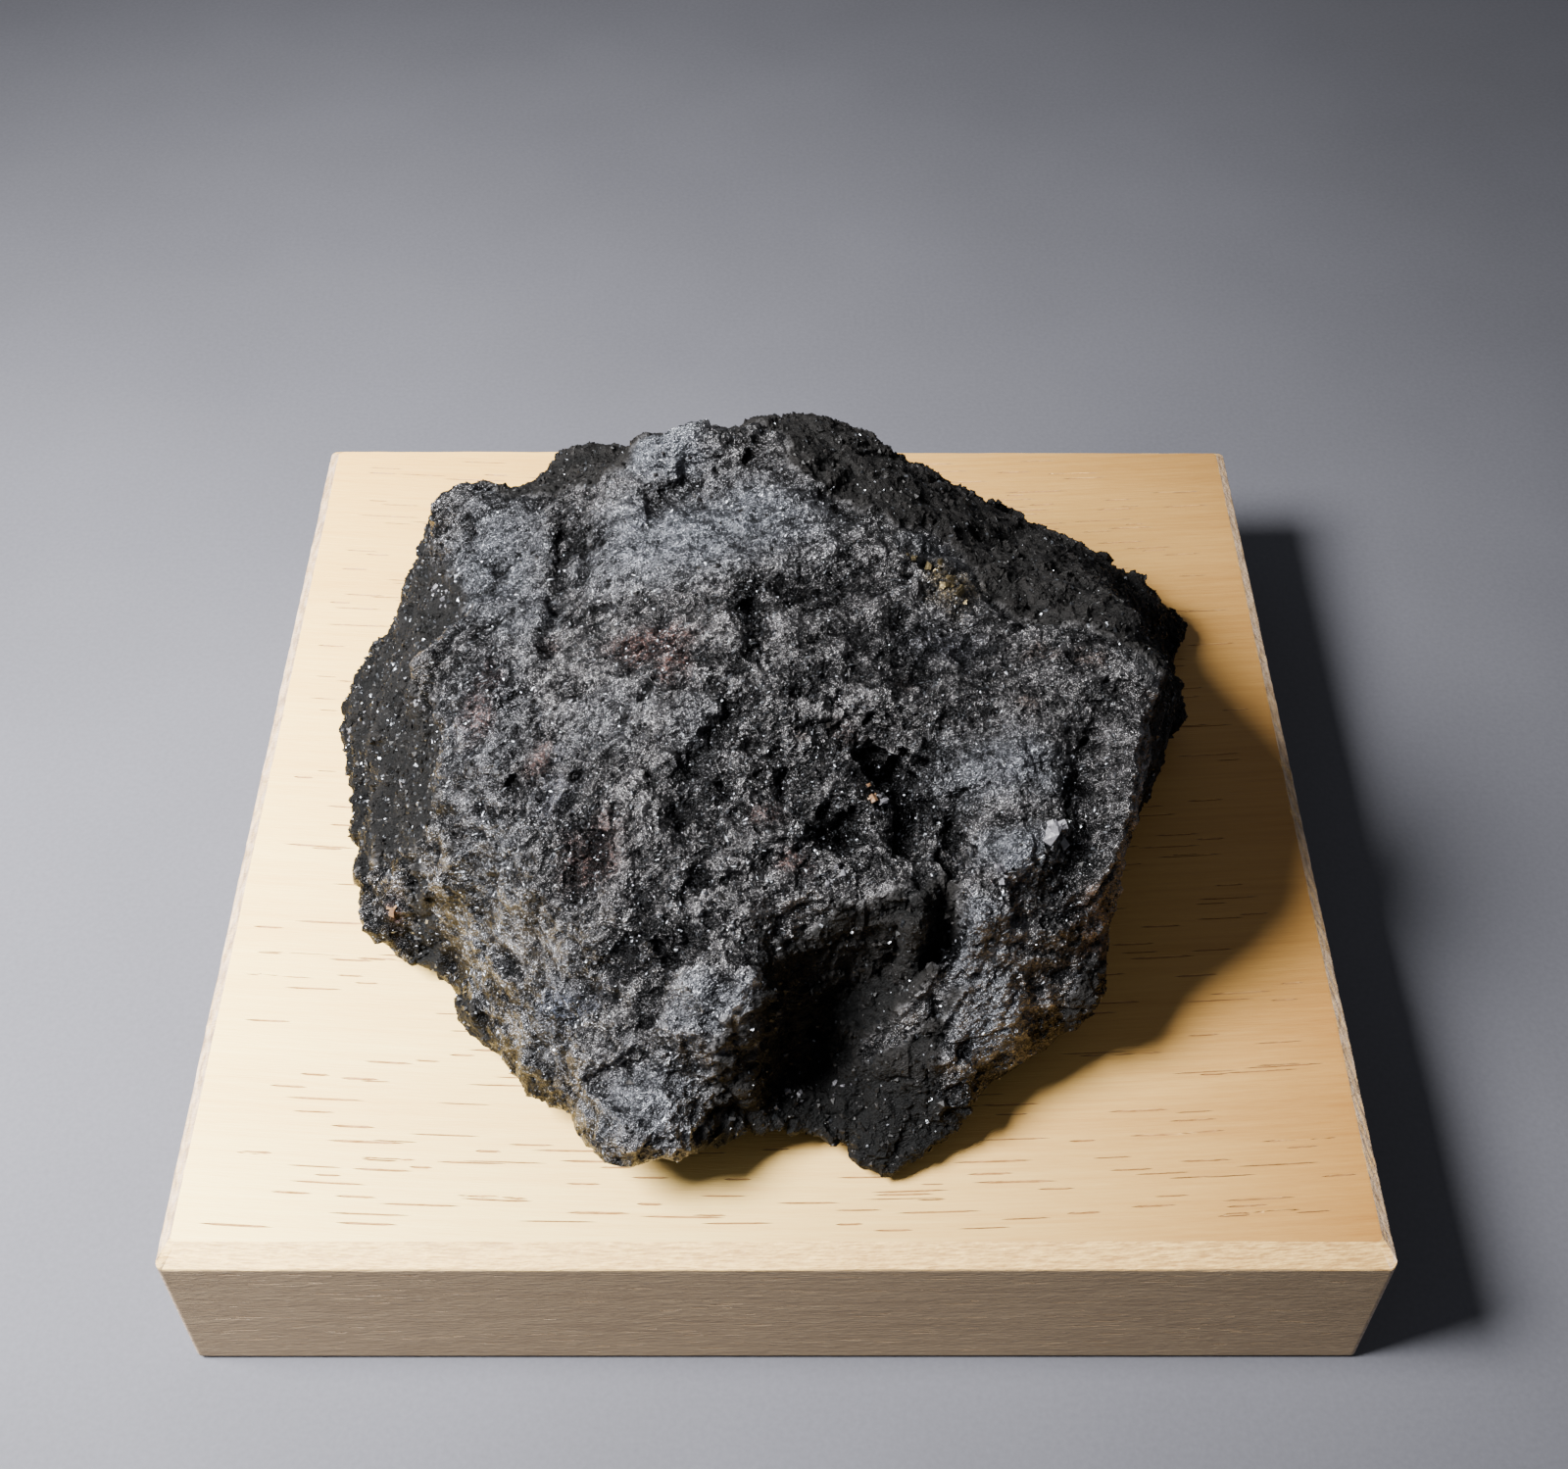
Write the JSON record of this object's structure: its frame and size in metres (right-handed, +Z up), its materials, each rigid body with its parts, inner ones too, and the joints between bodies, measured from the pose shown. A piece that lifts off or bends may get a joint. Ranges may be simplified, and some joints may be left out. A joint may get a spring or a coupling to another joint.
{
  "type": "mineral specimen on display block",
  "caption": "Rough dark metallic plagionite specimen, a tilted craggy face on matrix with a steep bite at the front, resting on a square pale wooden display block.",
  "frame": {"origin": "centre of the wooden block's underside", "axes": "+Z up; +X to the viewer's right and +Y away from the viewer, along the block's sides"},
  "size_m": [0.1, 0.1, 0.0515],
  "materials": {
    "stand_wood": "pale close-grained hardwood, sanded, with a thin matt finish",
    "plagionite_rock": "dark lead-grey sulphide, finely crystalline and glittering, on a dull dark matrix"
  },
  "bodies": {
    "root": {"stand": "stand_wood", "specimen": "plagionite_rock"}
  },
  "joints": []
}
